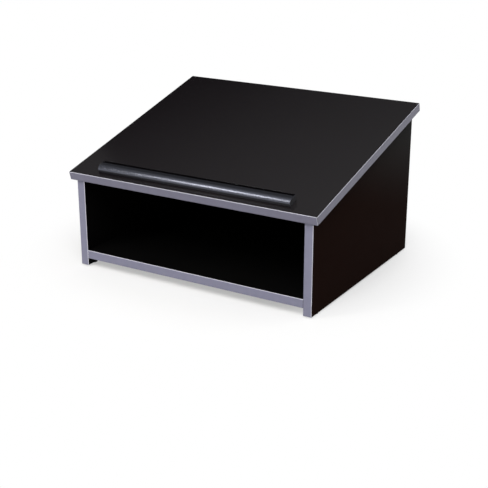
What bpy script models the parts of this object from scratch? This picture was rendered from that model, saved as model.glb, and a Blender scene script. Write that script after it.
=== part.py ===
"""Tabletop lectern: a sloped reading top with a book stop over an open-fronted compartment.

Black laminated boards with silver edge bands go together with cam locks and dowels, and stand on
four nailed glides. Metres, +Z up. The open front faces -Y, where the speaker stands, and the origin
is on the table under the middle of the lectern.
"""
import math

import bmesh
import bpy
from mathutils import Matrix, Vector

# Boards
BOARD = 0.01905                  # thickness of every board
BODY_WIDTH = 0.57785             # over the outer faces of the two sides
BODY_DEPTH = 0.467               # front to rear of the sides, over their bands
FRONT_HEIGHT = 0.197             # lower edge of the sides to the top's underside, at the front
SLOPE = math.radians(14.8)       # rise of the top from front to rear
TOP_SIDE_OVERHANG = 0.0127
TOP_FRONT_OVERHANG = 0.0066      # along the slope
TOP_REAR_OVERHANG = 0.0116       # along the slope
SHELF_RISE = 0.016               # lower edge of the sides to the shelf's underside
BACK_INSET = 0.006               # rear edge of the sides to the back's outer face

# Edge bands
BAND = 0.001                     # thickness of the band
BAND_ROUND = 0.0007              # radius of its outer arrises
ROUND_STEPS = 3

# Fits between pieces
GAP = 0.0003                     # left between pieces that touch
BORE_OVERRUN = 0.002             # how far a cutter reaches past the face it enters
BLIND_WALL = 0.0065              # board left behind a bore in its face

# Book stop
STOP_LENGTH = 0.468
STOP_DEPTH = 0.027               # along the slope
STOP_HEIGHT = 0.0136
STOP_SETBACK = 0.018             # front edge of the top to the foot of the stop
STOP_NOSE = 0.0105               # radius between its front and its crest
STOP_LEAN = 0.0008               # how far the rear face leans in
STOP_NOSE_STEPS = 10
STOP_SCREWS = 3
STOP_SCREW_END = 0.0465          # ends of the stop to its outer screws
STOP_SCREW_SETBACK = 0.0175      # foot of the stop to its screws
STOP_SCREW_BITE = 0.010          # screw length inside the stop
SCREW_SHANK = 0.0042             # diameters
SCREW_HEAD = 0.0082
SCREW_HEAD_DEPTH = 0.0022
SCREW_POINT = 0.004
SCREW_SINK = 0.0004              # head below the board's face
SCREW_CROSS = 0.0046             # span of the screwdriver cross in its head
SCREW_CROSS_DEPTH = 0.0011

# Glides under the sides
GLIDE_DIAMETER = 0.016
GLIDE_HEIGHT = 0.003
GLIDE_ROUND = 0.0012
GLIDE_FRONT_SETBACK = 0.0305     # front edge of the side to the glide's middle
GLIDE_REAR_SETBACK = 0.042
NAIL_DIAMETER = 0.0026
NAIL_LENGTH = 0.014
NAIL_POINT = 0.003

# Cam locks: a drum with a hollow, a slot round it for the bolt's neck and a window for its head
CAM_DIAMETER = 0.0145
CAM_SETBACK = 0.0245             # joint face to the middle of the drum
CAM_SINK = 0.0004                # top of the drum below the board's face
CAM_FLOOR = 0.0009
CAM_LIP = 0.00185                # wall that holds the bolt's head, where the lock is shut
CAM_THROW = 0.0006               # how much thinner that wall is on the far side
CAM_SLOT_START = math.radians(-24)
CAM_WINDOW_AT = math.radians(138)
CAM_CROSS = 0.0078               # span of the screwdriver cross in its top
CAM_CROSS_DEPTH = 0.0020
CROSS_WIDTH = 0.0014             # bars of the crosses in drums and screws

# Connecting bolts
BOLT_THREAD = 0.0058             # diameters
BOLT_TIP = 0.0030
BOLT_COLLAR = 0.0072
BOLT_SHAFT = 0.0062
BOLT_NECK = 0.0036
BOLT_HEAD = 0.0060
BOLT_POINT = 0.002
BOLT_COLLAR_LENGTH = 0.002
BOLT_SHOULDER = 0.0006           # end of the shaft to the drum's bore

# Dowels
DOWEL_DIAMETER = 0.008
DOWEL_FLUTE = 0.0006             # depth of the grooves along the dowel
DOWEL_FLUTES = 8
DOWEL_CHAMFER = 0.0012
DOWEL_IN_EDGE = 0.017            # length in the board that meets the joint with its edge

# Places of the fittings along each joint
SHELF_CAM_SETBACK = 0.055        # ends of the shelf to its cams
BACK_CAM_LOW = 0.045             # shelf to the lower cams of the back
BACK_CAM_HIGH = 0.055            # top's underside to the upper cams of the back
TOP_CAM_FRONT = 0.060            # front of the sides to the front cams, along the slope
TOP_CAM_REAR = 0.055             # back to the rear cams, along the slope
DOWEL_PITCH = 0.032              # cam to the dowel beside it
SHELF_BACK_DOWEL = 0.150         # middle to the dowels between shelf and back

# Facets of round pieces
DRUM_SIDES = 18
TURNED_SIDES = 12
GLIDE_SIDES = 20
HEAD_STEPS = 4
SECTOR_STEP = math.radians(40)
SMOOTH_ANGLE = math.radians(40)  # sharper edges than this stay crisp
WELD = 1e-6                      # points closer than this are one

# Derived places. The carcass frame has its y at the sides' front and its z at their lower edge.
HALF_WIDTH = BODY_WIDTH / 2
SIDE_INNER = HALF_WIDTH - BOARD
SIDE_MIDDLE = HALF_WIDTH - BOARD / 2
TOP_HALF_WIDTH = HALF_WIDTH + TOP_SIDE_OVERHANG
TOP_FRONT = -TOP_FRONT_OVERHANG
TOP_REAR = BODY_DEPTH / math.cos(SLOPE) + TOP_REAR_OVERHANG
BACK_FACE = BODY_DEPTH - BACK_INSET - BOARD
SHELF_MIDDLE = SHELF_RISE + BOARD / 2
FOREMOST = TOP_FRONT * math.cos(SLOPE) - BOARD * math.sin(SLOPE)
REARMOST = TOP_REAR * math.cos(SLOPE)
FACE_DEPTH = BOARD - BLIND_WALL

RIGHT = Vector((1, 0, 0))
REAR = Vector((0, 1, 0))
UP = Vector((0, 0, 1))


def under_top(y):
    """Height of the boards below the top at depth y in the carcass, a gap under the top."""
    return FRONT_HEIGHT + y * math.tan(SLOPE) - GAP / math.cos(SLOPE)


def clear_scene():
    for item in list(bpy.data.objects):
        bpy.data.objects.remove(item, do_unlink=True)


def finish(name, colour, roughness, metallic=0.0):
    """A Principled material in one colour."""
    material = bpy.data.materials.new(name)
    material.use_nodes = True
    shader = material.node_tree.nodes["Principled BSDF"]
    shader.inputs["Base Color"].default_value = (*colour, 1.0)
    shader.inputs["Roughness"].default_value = roughness
    shader.inputs["Metallic"].default_value = metallic
    return material


def mesh_of(bm, name, smooth=False):
    """The mesh of a bmesh, with its faces pointing out and, on round pieces, shaded smooth."""
    bmesh.ops.recalc_face_normals(bm, faces=bm.faces)
    mesh = bpy.data.meshes.new(name)
    bm.to_mesh(mesh)
    bm.free()
    if smooth:
        mesh.shade_smooth()
        mesh.set_sharp_from_angle(angle=SMOOTH_ANGLE)
    return mesh


def extruded(outline, along):
    """A bmesh prism: a flat outline of 3D points, pushed along a vector."""
    bm = bmesh.new()
    face = bm.faces.new([bm.verts.new(point) for point in outline])
    grown = bmesh.ops.extrude_face_region(bm, geom=[face])
    moved = [item for item in grown["geom"] if isinstance(item, bmesh.types.BMVert)]
    bmesh.ops.translate(bm, verts=moved, vec=along)
    return bm


def block(low, high):
    """A bmesh of a squared board between two corners."""
    corners = ((low[1], low[2]), (high[1], low[2]), (high[1], high[2]), (low[1], high[2]))
    outline = [(low[0], y, z) for y, z in corners]
    return extruded(outline, RIGHT * (high[0] - low[0]))


def turned(profile, sides):
    """A bmesh turned about Z from (radius, z) points that start and end on the axis."""
    bm = bmesh.new()
    points = [bm.verts.new((radius, 0, z)) for radius, z in profile]
    edges = [bm.edges.new(pair) for pair in zip(points, points[1:])]
    bmesh.ops.spin(bm, geom=points + edges, cent=(0, 0, 0), axis=UP, angle=math.tau, steps=sides)
    bmesh.ops.remove_doubles(bm, verts=bm.verts, dist=WELD)
    return bm


def cylinder(radius, low, high, sides):
    return turned([(0, low), (radius, low), (radius, high), (0, high)], sides)


def round_edges(bm, chosen):
    """Round the arrises of a band that a test of their two ends picks."""
    radius = min(BAND_ROUND, BAND - GAP)
    edges = [edge for edge in bm.edges if chosen(*(vert.co for vert in edge.verts))]
    bmesh.ops.bevel(bm, geom=edges, offset=radius, segments=ROUND_STEPS, profile=0.5, affect="EDGES")
    return bm


def axes_at(origin, z_axis, x_axis):
    """A placement whose Z and X run along the given directions."""
    columns = Matrix((x_axis, z_axis.cross(x_axis), z_axis)).transposed()
    return Matrix.Translation(origin) @ columns.to_4x4()


def place(name, mesh, parent, matrix=None, material=None):
    """An object under a parent, linked to the scene."""
    item = bpy.data.objects.new(name, mesh)
    bpy.context.scene.collection.objects.link(item)
    item.parent = parent
    item.matrix_local = matrix or Matrix.Identity(4)
    if material:
        mesh.materials.clear()
        mesh.materials.append(material)
    return item


def frame_empty(name, parent, location, tilt=0.0):
    item = place(name, None, parent)
    item.location = location
    item.rotation_euler = (tilt, 0, 0)
    return item


def make_cutter(item):
    item.hide_render = True
    item.display_type = "WIRE"


def cut(board, cutters):
    """Bore a board with all of its cutters."""
    bores = bpy.data.collections.new("bores_in_" + board.name)
    bpy.context.scene.collection.children.link(bores)
    for item in cutters:
        make_cutter(item)
        bores.objects.link(item)
        bpy.context.scene.collection.objects.unlink(item)
    boolean = board.modifiers.new("bores", "BOOLEAN")
    boolean.operation = "DIFFERENCE"
    boolean.operand_type = "COLLECTION"
    boolean.collection = bores
    boolean.solver = "EXACT"


def carved(name, bm, cutter_forms):
    """One mesh with several forms cut out of it, shared by all the copies of a small piece."""
    blank = place("blank", mesh_of(bm, "blank"), None)
    tools = [place("tool", mesh_of(form, "tool"), None) for form in cutter_forms]
    for tool in tools:
        boolean = blank.modifiers.new("cut", "BOOLEAN")
        boolean.operation = "DIFFERENCE"
        boolean.object = tool
        boolean.solver = "EXACT"
    bpy.context.view_layer.update()
    evaluated = blank.evaluated_get(bpy.context.evaluated_depsgraph_get())
    mesh = bpy.data.meshes.new_from_object(evaluated)
    mesh.name = name
    mesh.shade_smooth()
    mesh.set_sharp_from_angle(angle=SMOOTH_ANGLE)
    for item in [blank, *tools]:
        bpy.data.objects.remove(item, do_unlink=True)
    return mesh


def driver_cross(face, depth, span):
    """The two bars of a screwdriver cross, cut into a face at height z, upwards if depth is negative."""
    low, high = sorted((face + math.copysign(BORE_OVERRUN, depth), face - depth))
    long, short = span / 2, CROSS_WIDTH / 2
    return [block((-a, -b, low), (a, b, high)) for a, b in ((long, short), (short, long))]


# Boards

def side_outline(x, front, rear):
    corners = ((front, 0), (rear, 0), (rear, under_top(rear)), (front, under_top(front)))
    return [(x, y, z) for y, z in corners]


def make_sides(carcass, laminate, band_finish):
    """The two sides and the bands on their front and rear edges."""
    boards = {}
    for hand, low_x in (("left", -HALF_WIDTH), ("right", SIDE_INNER)):
        across = RIGHT * BOARD
        board = extruded(side_outline(low_x, BAND + GAP, BODY_DEPTH - BAND - GAP), across)
        name = hand + "_side_panel"
        boards[name] = place(name, mesh_of(board, name), carcass, material=laminate)
        for end, outer, inner in (("front", 0, BAND), ("rear", BODY_DEPTH, BODY_DEPTH - BAND)):
            band = extruded(side_outline(low_x, min(outer, inner), max(outer, inner)), across)
            round_edges(band, lambda a, b: abs(a.y - outer) + abs(b.y - outer) < GAP and a.x == b.x)
            name = f"{hand}_side_{end}_band"
            place(name, mesh_of(band, name, smooth=True), carcass, material=band_finish)
    return boards


def make_shelf(carcass, laminate, band_finish):
    """The raised floor of the compartment and its front band, flush with the sides' bands."""
    half = SIDE_INNER - GAP
    ceiling = SHELF_RISE + BOARD
    board = block((-half, BAND + GAP, SHELF_RISE), (half, BACK_FACE - GAP, ceiling))
    band = block((-half, 0, SHELF_RISE), (half, BAND, ceiling))
    round_edges(band, lambda a, b: a.y == b.y == 0 and a.z == b.z)
    place("shelf_front_band", mesh_of(band, "shelf_front_band", smooth=True), carcass, material=band_finish)
    return place("bottom_shelf", mesh_of(board, "bottom_shelf"), carcass, material=laminate)


def make_back(carcass, laminate):
    """The board that faces the audience, its upper edge cut to the slope."""
    half = SIDE_INNER - GAP
    board = extruded(side_outline(-half, BACK_FACE, BACK_FACE + BOARD), RIGHT * 2 * half)
    return place("back_panel", mesh_of(board, "back_panel"), carcass, material=laminate)


def make_top(slope, laminate, band_finish):
    """The reading board with a band on all four edges."""
    trim = BAND + GAP
    half = TOP_HALF_WIDTH - trim
    board = block((-half, TOP_FRONT + trim, 0), (half, TOP_REAR - trim, BOARD))
    front_inner, rear_inner = TOP_FRONT + BAND, TOP_REAR - BAND
    for end, low, inner in (("front", TOP_FRONT, front_inner), ("rear", rear_inner, rear_inner)):
        band = block((-TOP_HALF_WIDTH, low, 0), (TOP_HALF_WIDTH, low + BAND, BOARD))
        round_edges(band, lambda a, b: not abs(a.y - inner) + abs(b.y - inner) < GAP)
        name = f"top_{end}_band"
        place(name, mesh_of(band, name, smooth=True), slope, material=band_finish)
    for hand, side in (("left", -1), ("right", 1)):
        outer = side * TOP_HALF_WIDTH
        low_x, high_x = sorted((outer, outer - side * BAND))
        band = block((low_x, TOP_FRONT + trim, 0), (high_x, TOP_REAR - trim, BOARD))
        round_edges(band, lambda a, b: abs(a.x - outer) + abs(b.x - outer) < GAP and a.z == b.z)
        name = f"top_{hand}_band"
        place(name, mesh_of(band, name, smooth=True), slope, material=band_finish)
    return place("top_panel", mesh_of(board, "top_panel"), slope, material=laminate)


# Book stop and its screws

def stop_profile():
    """Section of the stop as (along the slope, above the board): a low front, a round nose, a crest."""
    foot = TOP_FRONT + STOP_SETBACK
    base = BOARD + GAP
    crest_rear = Vector((foot + STOP_DEPTH - STOP_LEAN, base + STOP_HEIGHT))
    centre = Vector((foot + STOP_NOSE, base + STOP_HEIGHT - STOP_NOSE))
    nose = []
    for step in range(STOP_NOSE_STEPS + 1):
        angle = math.pi / 2 * step / STOP_NOSE_STEPS
        nose.append(centre + STOP_NOSE * Vector((-math.cos(angle), math.sin(angle))))
    return [Vector((foot, base)), *nose, crest_rear, Vector((foot + STOP_DEPTH, base))]


def screw_profile(clearance, length):
    """Countersunk screw, head at the top's underside and point upwards, or its bore with a clearance."""
    head = SCREW_HEAD / 2 + clearance
    shank = SCREW_SHANK / 2 + clearance
    neck = SCREW_SINK + SCREW_HEAD_DEPTH + clearance
    return [(0, SCREW_SINK), (head, SCREW_SINK), (shank, neck), (shank, length - SCREW_POINT), (0, length)]


def make_book_stop(slope, top, black_plastic, steel):
    """The moulded ledge, and the screws that hold it from under the top."""
    outline = [(-STOP_LENGTH / 2, point.x, point.y) for point in stop_profile()]
    mesh = mesh_of(extruded(outline, RIGHT * STOP_LENGTH), "book_stop", smooth=True)
    stop = place("book_stop", mesh, slope, material=black_plastic)

    length = BOARD + GAP + STOP_SCREW_BITE
    cross = driver_cross(SCREW_SINK, -SCREW_CROSS_DEPTH, SCREW_CROSS)
    screw = carved("book_stop_screw", turned(screw_profile(0, length), TURNED_SIDES), cross)
    mouth = (SCREW_HEAD / 2 + GAP, -BORE_OVERRUN)
    through = [(0, mouth[1]), mouth, *screw_profile(GAP, BOARD + STOP_HEIGHT)[1:3]]
    through += [(SCREW_SHANK / 2 + GAP, BOARD + BORE_OVERRUN), (0, BOARD + BORE_OVERRUN)]
    hole = mesh_of(turned(through, TURNED_SIDES), "screw_hole")
    pilot = cylinder(SCREW_SHANK / 2 + GAP, BOARD - BORE_OVERRUN, length + GAP, TURNED_SIDES)
    pilot = mesh_of(pilot, "pilot")
    holes, pilots = [], []
    outer_screw = STOP_LENGTH / 2 - STOP_SCREW_END
    for index in range(STOP_SCREWS):
        x = outer_screw * (2 * index / (STOP_SCREWS - 1) - 1)
        at = Matrix.Translation((x, TOP_FRONT + STOP_SETBACK + STOP_SCREW_SETBACK, 0))
        place(f"book_stop_screw_{index + 1}", screw, slope, at, steel)
        holes.append(place(f"screw_hole_{index + 1}", hole, slope, at))
        pilots.append(place(f"screw_pilot_{index + 1}", pilot, slope, at))
    cut(stop, pilots)
    return {top.name: holes}


# Glides

def make_glides(carcass, black_plastic):
    """Low round glides, each moulded on a nail that is driven into a side's lower edge."""
    radius, nail = GLIDE_DIAMETER / 2, NAIL_DIAMETER / 2
    sole = -GAP - GLIDE_HEIGHT
    shape = [(0, sole), (radius - GLIDE_ROUND, sole), (radius, sole + GLIDE_ROUND), (radius, -GAP)]
    shape += [(nail, -GAP), (nail, NAIL_LENGTH - NAIL_POINT), (0, NAIL_LENGTH)]
    glide = mesh_of(turned(shape, GLIDE_SIDES), "glide", smooth=True)
    bore = mesh_of(cylinder(nail + GAP, -BORE_OVERRUN, NAIL_LENGTH + GAP, TURNED_SIDES), "nail_bore")
    bores = {}
    for hand, side in (("left", -1), ("right", 1)):
        for end, y in (("front", GLIDE_FRONT_SETBACK), ("rear", BODY_DEPTH - GLIDE_REAR_SETBACK)):
            at = Matrix.Translation((side * SIDE_MIDDLE, y, 0))
            place(f"{hand}_{end}_glide", glide, carcass, at, black_plastic)
            cutter = place(f"{hand}_{end}_nail_bore", bore, carcass, at)
            bores.setdefault(hand + "_side_panel", []).append(cutter)
    return bores


# Cam locks, bolts and dowels

def cam_mesh():
    """A drum with its mouth up: an off-centre hollow, a slot for the neck and a window for the head."""
    radius = CAM_DIAMETER / 2
    head = BOLT_HEAD / 2
    hollow_half = head + 2 * GAP
    hollow = cylinder(radius - CAM_LIP + CAM_THROW / 2, -hollow_half, hollow_half, DRUM_SIDES)
    bmesh.ops.translate(hollow, verts=hollow.verts, vec=(-CAM_THROW / 2, 0, 0))

    slot_half = BOLT_NECK / 2 + GAP
    reach = CAM_DIAMETER
    steps = math.ceil((CAM_WINDOW_AT - CAM_SLOT_START) / SECTOR_STEP)
    sweep = [CAM_SLOT_START + (CAM_WINDOW_AT - CAM_SLOT_START) * step / steps for step in range(steps + 1)]
    sector = [(0, 0, -slot_half)]
    sector += [(reach * math.cos(angle), reach * math.sin(angle), -slot_half) for angle in sweep]
    slot = extruded(sector, UP * 2 * slot_half)

    window = block((0, -head - GAP, -head - GAP), (reach, head + GAP, head + GAP))
    bmesh.ops.rotate(window, verts=window.verts, matrix=Matrix.Rotation(CAM_WINDOW_AT, 3, "Z"))

    mouth = BOARD / 2 - CAM_SINK
    drum = cylinder(radius, -hollow_half - CAM_FLOOR, mouth, DRUM_SIDES)
    cross = driver_cross(mouth, CAM_CROSS_DEPTH, CAM_CROSS)
    return carved("cam", drum, [hollow, slot, window, *cross])


def bolt_mesh():
    """A connecting bolt along Z: thread below the joint face, ball head in the cam's hollow above it."""
    thread, collar, shaft = BOLT_THREAD / 2, BOLT_COLLAR / 2, BOLT_SHAFT / 2
    neck, head = BOLT_NECK / 2, BOLT_HEAD / 2
    tip = GAP - FACE_DEPTH
    drum_bore = CAM_SETBACK - CAM_DIAMETER / 2 - GAP
    slot_half = neck + GAP
    lip = CAM_SETBACK - (CAM_DIAMETER / 2 - CAM_LIP)
    ball = lip + math.sqrt(head ** 2 - slot_half ** 2) + GAP
    profile = [(0, tip), (BOLT_TIP / 2, tip), (thread, tip + BOLT_POINT), (thread, GAP), (collar, GAP)]
    profile += [(collar, GAP + BOLT_COLLAR_LENGTH), (shaft, GAP + BOLT_COLLAR_LENGTH)]
    profile += [(shaft, drum_bore - BOLT_SHOULDER), (neck, drum_bore - BOLT_SHOULDER)]
    start = math.asin(neck / head)
    for step in range(HEAD_STEPS + 1):
        angle = start + (math.pi - start) * step / HEAD_STEPS
        profile.append((head * math.sin(angle), ball - head * math.cos(angle)))
    profile[-1] = (0, profile[-1][1])
    return mesh_of(turned(profile, TURNED_SIDES), "cam_bolt", smooth=True)


def dowel_mesh():
    """A fluted dowel along Z, chamfered at both ends, set across the joint face."""
    low, high = GAP - FACE_DEPTH, DOWEL_IN_EDGE
    radius = DOWEL_DIAMETER / 2
    rings = ((low, DOWEL_CHAMFER), (low + DOWEL_CHAMFER, 0), (high - DOWEL_CHAMFER, 0), (high, DOWEL_CHAMFER))
    bm = bmesh.new()
    loops = []
    for z, inset in rings:
        loop = []
        for point in range(2 * DOWEL_FLUTES):
            angle = math.pi * point / DOWEL_FLUTES
            reach = radius - inset - DOWEL_FLUTE * (point % 2)
            loop.append(bm.verts.new((reach * math.cos(angle), reach * math.sin(angle), z)))
        loops.append([bm.edges.new(pair) for pair in zip(loop, loop[1:] + loop[:1])])
        if inset:
            bm.faces.new(loop)
    for pair in zip(loops, loops[1:]):
        bmesh.ops.bridge_loops(bm, edges=pair[0] + pair[1])
    return mesh_of(bm, "dowel")


class Fittings:
    """Places cam locks and dowels across joints and keeps the bores that they need in each board."""

    def __init__(self, zinc, steel, beech):
        self.zinc, self.steel, self.beech = zinc, steel, beech
        self.cam, self.bolt, self.dowel = cam_mesh(), bolt_mesh(), dowel_mesh()
        thread = BOLT_THREAD / 2 + GAP
        collar = BOLT_COLLAR / 2 + GAP
        peg = DOWEL_DIAMETER / 2 + GAP
        drum_low = -(BOLT_HEAD / 2 + 3 * GAP + CAM_FLOOR)
        self.bores = {
            "thread": cylinder(thread, -FACE_DEPTH, BORE_OVERRUN, TURNED_SIDES),
            "shaft": cylinder(collar, -BORE_OVERRUN, CAM_SETBACK, TURNED_SIDES),
            "drum": cylinder(CAM_DIAMETER / 2 + GAP, drum_low, BOARD / 2 + BORE_OVERRUN, DRUM_SIDES),
            "peg_face": cylinder(peg, -FACE_DEPTH, BORE_OVERRUN, TURNED_SIDES),
            "peg_edge": cylinder(peg, -BORE_OVERRUN, DOWEL_IN_EDGE + GAP, TURNED_SIDES),
        }
        self.bores = {name: mesh_of(bm, name + "_bore") for name, bm in self.bores.items()}
        self.cutters = {}

    def bore(self, board, kind, parent, matrix, label):
        cutter = place(f"{label}_{kind}_bore", self.bores[kind], parent, matrix)
        self.cutters.setdefault(board, []).append(cutter)

    def lock(self, joint, parent, seat, into, mouth, face_board, edge_board):
        """A bolt in one board's face and its cam in the other board, whose edge meets that face."""
        along = axes_at(seat, into, mouth)
        drum = axes_at(seat + into * CAM_SETBACK, mouth, -into)
        place(joint + "_bolt", self.bolt, parent, along, self.steel)
        place(joint + "_cam", self.cam, parent, drum, self.zinc)
        self.bore(face_board, "thread", parent, along, joint)
        self.bore(edge_board, "shaft", parent, along, joint)
        self.bore(edge_board, "drum", parent, drum, joint)

    def peg(self, joint, parent, seat, into, face_board, edge_board):
        """A dowel half in one board's face and half in the other board's edge."""
        along = axes_at(seat, into, RIGHT if abs(into.x) < 0.5 else UP)
        place(joint + "_dowel", self.dowel, parent, along, self.beech)
        self.bore(face_board, "peg_face", parent, along, joint)
        self.bore(edge_board, "peg_edge", parent, along, joint)


def join_boards(fittings, carcass, slope):
    """All the joints of the carcass: shelf to sides, back to sides, top to sides, shelf to back."""
    back_middle = BACK_FACE + BOARD / 2
    shelf_places = ((SHELF_CAM_SETBACK, 1, "front"), (BACK_FACE - SHELF_CAM_SETBACK, -1, "rear"))
    back_low = SHELF_RISE + BOARD + BACK_CAM_LOW
    back_high = under_top(BACK_FACE) - BACK_CAM_HIGH
    back_places = ((back_low, 1, "lower"), (back_high, -1, "upper"))
    top_rear = BACK_FACE / math.cos(SLOPE) - TOP_CAM_REAR
    top_places = ((TOP_CAM_FRONT, 1, "front"), (top_rear, -1, "rear"))
    for hand, side in (("left", -1), ("right", 1)):
        panel = hand + "_side_panel"
        inward = RIGHT * -side
        wall = side * SIDE_INNER
        for y, inner, end in shelf_places:
            joint = f"shelf_{hand}_{end}"
            seat = Vector((wall, y, SHELF_MIDDLE))
            fittings.lock(joint, carcass, seat, inward, -UP, panel, "bottom_shelf")
            fittings.peg(joint, carcass, seat + REAR * inner * DOWEL_PITCH, inward, panel, "bottom_shelf")
        for z, inner, end in back_places:
            joint = f"back_{hand}_{end}"
            seat = Vector((wall, back_middle, z))
            fittings.lock(joint, carcass, seat, inward, -REAR, panel, "back_panel")
            fittings.peg(joint, carcass, seat + UP * inner * DOWEL_PITCH, inward, panel, "back_panel")
        for along, inner, end in top_places:
            joint = f"top_{hand}_{end}"
            seat = Vector((side * SIDE_MIDDLE, along, 0))
            fittings.lock(joint, slope, seat, -UP, inward, "top_panel", panel)
            fittings.peg(joint, slope, seat + REAR * inner * DOWEL_PITCH, -UP, "top_panel", panel)
        seat = Vector((side * SHELF_BACK_DOWEL, BACK_FACE, SHELF_MIDDLE))
        fittings.peg(f"shelf_back_{hand}", carcass, seat, -REAR, "back_panel", "bottom_shelf")


def build():
    clear_scene()
    laminate = finish("black_laminate", (0.013, 0.012, 0.013), 0.42)
    band_finish = finish("silver_band", (0.24, 0.24, 0.31), 0.38, 0.2)
    black_plastic = finish("black_plastic", (0.010, 0.011, 0.013), 0.28)
    zinc = finish("zinc_casting", (0.42, 0.42, 0.43), 0.45, 0.9)
    steel = finish("plated_steel", (0.55, 0.54, 0.50), 0.30, 1.0)
    beech = finish("beech", (0.52, 0.34, 0.18), 0.65)

    lectern = frame_empty("lectern", None, (0, 0, 0))
    carcass = frame_empty("carcass", lectern, (0, -(FOREMOST + REARMOST) / 2, GLIDE_HEIGHT + GAP))
    slope = frame_empty("slope", carcass, (0, 0, FRONT_HEIGHT), SLOPE)

    boards = make_sides(carcass, laminate, band_finish)
    boards["bottom_shelf"] = make_shelf(carcass, laminate, band_finish)
    boards["back_panel"] = make_back(carcass, laminate)
    boards["top_panel"] = make_top(slope, laminate, band_finish)

    fittings = Fittings(zinc, steel, beech)
    join_boards(fittings, carcass, slope)
    stop_bores = make_book_stop(slope, boards["top_panel"], black_plastic, steel)
    glide_bores = make_glides(carcass, black_plastic)
    for bores in (stop_bores, glide_bores):
        for board, cutters in bores.items():
            fittings.cutters.setdefault(board, []).extend(cutters)
    for name, board in boards.items():
        cut(board, fittings.cutters[name])


build()
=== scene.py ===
"""Looks of the tabletop lectern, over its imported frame. Metres, +Z up, the open front faces -Y."""
import math

import bmesh
import bpy
from mathutils import Matrix, Vector


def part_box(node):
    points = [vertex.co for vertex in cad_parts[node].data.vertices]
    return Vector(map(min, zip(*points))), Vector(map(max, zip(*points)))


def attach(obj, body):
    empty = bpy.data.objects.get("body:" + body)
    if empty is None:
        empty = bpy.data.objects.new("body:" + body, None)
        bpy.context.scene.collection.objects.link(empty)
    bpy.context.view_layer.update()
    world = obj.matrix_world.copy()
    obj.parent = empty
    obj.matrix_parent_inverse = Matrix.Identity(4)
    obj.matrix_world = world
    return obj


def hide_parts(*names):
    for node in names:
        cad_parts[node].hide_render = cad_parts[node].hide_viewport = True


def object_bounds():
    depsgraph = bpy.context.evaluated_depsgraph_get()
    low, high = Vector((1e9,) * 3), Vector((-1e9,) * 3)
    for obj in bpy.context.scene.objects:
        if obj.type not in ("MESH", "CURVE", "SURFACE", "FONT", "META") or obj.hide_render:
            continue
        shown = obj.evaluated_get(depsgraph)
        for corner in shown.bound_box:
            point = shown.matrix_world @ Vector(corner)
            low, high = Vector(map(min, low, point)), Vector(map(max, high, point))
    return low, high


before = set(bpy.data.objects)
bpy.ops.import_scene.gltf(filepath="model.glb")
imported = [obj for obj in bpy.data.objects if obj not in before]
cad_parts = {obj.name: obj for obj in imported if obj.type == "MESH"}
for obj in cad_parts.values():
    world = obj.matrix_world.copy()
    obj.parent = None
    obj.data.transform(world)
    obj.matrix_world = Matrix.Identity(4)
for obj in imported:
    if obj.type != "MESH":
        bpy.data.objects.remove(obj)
cad_low, cad_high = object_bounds()

# Side panels
# Two upright boards of chipboard under a film of black melamine. Outside, a painted grey sheen lightens
# the film towards the upper rear. Inside, the film is darkened with painted shade. Their upper edges are
# sawn to the slope. The bores for bolts, dowels, cam drums and glide nails show the raw chips.
SLOPE = math.radians(14.8)
RISE = math.tan(SLOPE)
BOARD_ARRIS = 0.0004
ARRIS_STEPS = 2
ROUND_PROFILE = 0.5
BORE_CLEARANCE = 0.0003
BORE_SIDES = 32
BORE_OVERRUN = 0.002
SCREW_SHANK = 0.0042
SCREW_HEAD_DEPTH = 0.0026
NAIL_DIAMETER = 0.0026
CRISP_ANGLE = math.radians(35)
FLAT_WEIGHT = 100
WELD = 1e-6
FACE_ON = 0.99
SHADED_INNER_FACE = 2
GRAIN_DETAIL, GRAIN_ROUGHNESS = 3.0, 0.6
CLOUD_DETAIL, CLOUD_ROUGHNESS = 4.0, 0.55
FILM_DARK = (0.0097, 0.0038, 0.0026, 1.0)
FILM_LIGHT = (0.0122, 0.0051, 0.0036, 1.0)
# Painted sheen: the grey that the outer film turns to, up and towards the rear.
PAINTED_SHEEN_GREY = (0.0330, 0.0330, 0.0330, 1.0)
SHEEN_WAY = (0, 0.35, 1)
SHEEN_START, SHEEN_END = 0.16, 0.42
# Painted shade: the film on faces inside the compartment is darker.
INNER_SHADE_DARK = (0.0020, 0.0019, 0.0019, 1.0)
INNER_SHADE_LIGHT = (0.0031, 0.0030, 0.0030, 1.0)
CHIP_DARK = (0.19, 0.115, 0.060, 1.0)
CHIP_LIGHT = (0.46, 0.33, 0.20, 1.0)

RIGHT = Vector((1, 0, 0))
REAR = Vector((0, 1, 0))
UP = Vector((0, 0, 1))
INWARD = {"left": RIGHT, "right": -RIGHT}

side_low, side_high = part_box("left_side_panel")
side_front_height = side_high.z - (side_high.y - side_low.y) * RISE
LEVEL = Matrix.Identity(4)
TILTED = Matrix.Translation((0, side_low.y, side_front_height)) @ Matrix.Rotation(SLOPE, 4, "X")


def box_in(axes, cad_node):
    """Lowest and highest corner of a CAD node in axes of its own."""
    back = axes.inverted()
    points = [back @ vert.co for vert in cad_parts[cad_node].data.vertices]
    return Vector(map(min, zip(*points))), Vector(map(max, zip(*points)))


def node(tree, kind, inputs=None, **settings):
    """A node with its settings made and its inputs linked or filled in."""
    made = tree.nodes.new(kind)
    for key, value in settings.items():
        setattr(made, key, value)
    for key, value in (inputs or {}).items():
        for entry in value if isinstance(value, list) else [value]:
            if isinstance(entry, bpy.types.NodeSocket):
                tree.links.new(entry, made.inputs[key])
            else:
                made.inputs[key].default_value = entry
    return made


def blend_colours(tree, share, first, second):
    """Two colours mixed by a share from 0 to 1. The Mix node's colour sockets go by number."""
    mix = node(tree, "ShaderNodeMix", {0: share, 6: first, 7: second}, data_type="RGBA")
    return mix.outputs[2]


def blend_range(tree, value, from_low, from_high, to_low, to_high, way="SMOOTHSTEP"):
    """A value carried from one range into another."""
    ends = {0: value, 1: from_low, 2: from_high, 3: to_low, 4: to_high}
    return node(tree, "ShaderNodeMapRange", ends, interpolation_type=way).outputs[0]


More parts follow.
